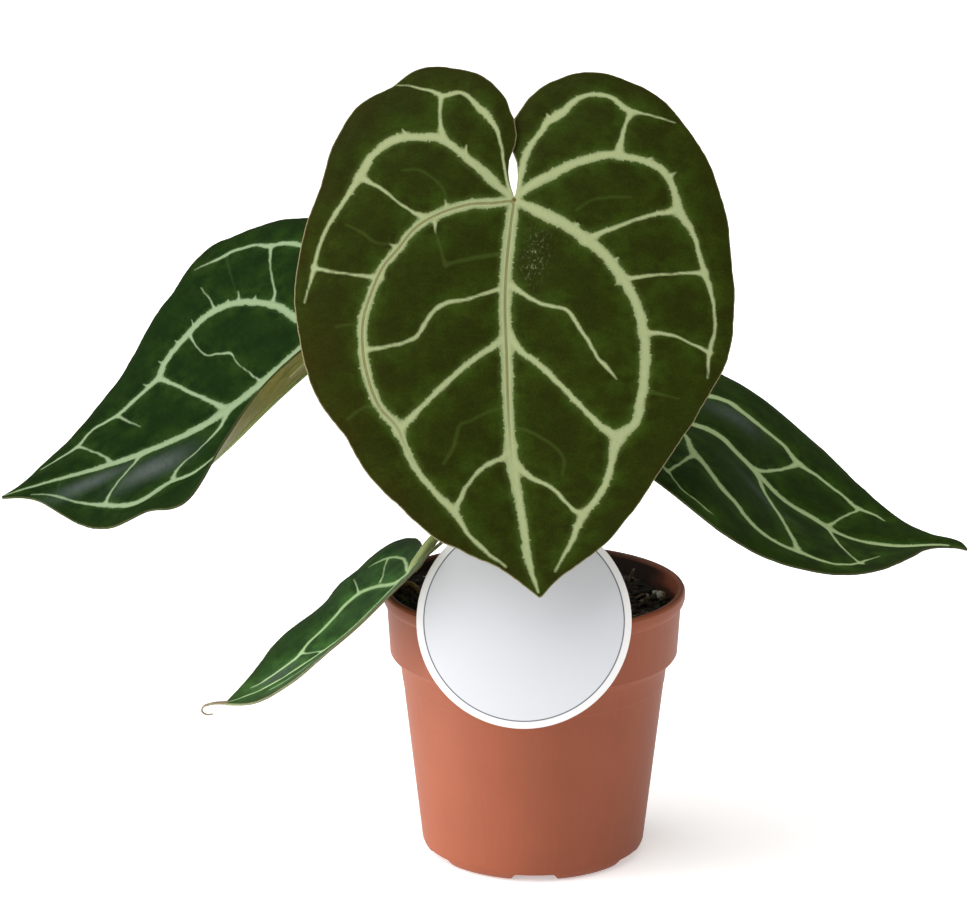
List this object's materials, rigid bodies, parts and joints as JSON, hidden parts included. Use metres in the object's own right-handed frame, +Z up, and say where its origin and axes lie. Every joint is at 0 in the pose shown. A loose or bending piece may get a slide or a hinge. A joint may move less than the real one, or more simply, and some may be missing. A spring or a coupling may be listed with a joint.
{
  "type": "potted crystal anthurium",
  "caption": "Heart-leaved house plant with pale ribs in a round plastic nursery pot, with a bare round plant tag at its rim.",
  "frame": {"origin": "centre of the pot's foot, on the surface that the pot stands on", "axes": "+Z up along the pot's axis, -Y towards the viewer and the big front leaf, +X to the viewer's right"},
  "size_m": [0.3818, 0.1915, 0.3149],
  "materials": {
    "pot": "terracotta-coloured moulded plastic",
    "potting_mix": "dark peat and bark mix with perlite",
    "crown": "brown ringed stem",
    "blade": "velvety dark green leaf tissue",
    "ribs": "pale green ribs and petioles",
    "tag": "white printed board"
  },
  "bodies": {
    "root": {"pot": "pot", "potting_mix": "potting_mix", "crown": "crown", "front_leaf_blade": "blade", "front_leaf_petiole_and_ribs": "ribs", "left_leaf_blade": "blade", "left_leaf_petiole_and_ribs": "ribs", "right_leaf_blade": "blade", "right_leaf_petiole_and_ribs": "ribs", "small_leaf_blade": "blade", "small_leaf_petiole_and_ribs": "ribs", "tag_disc": "tag", "tag_stake": "tag"}
  },
  "joints": []
}
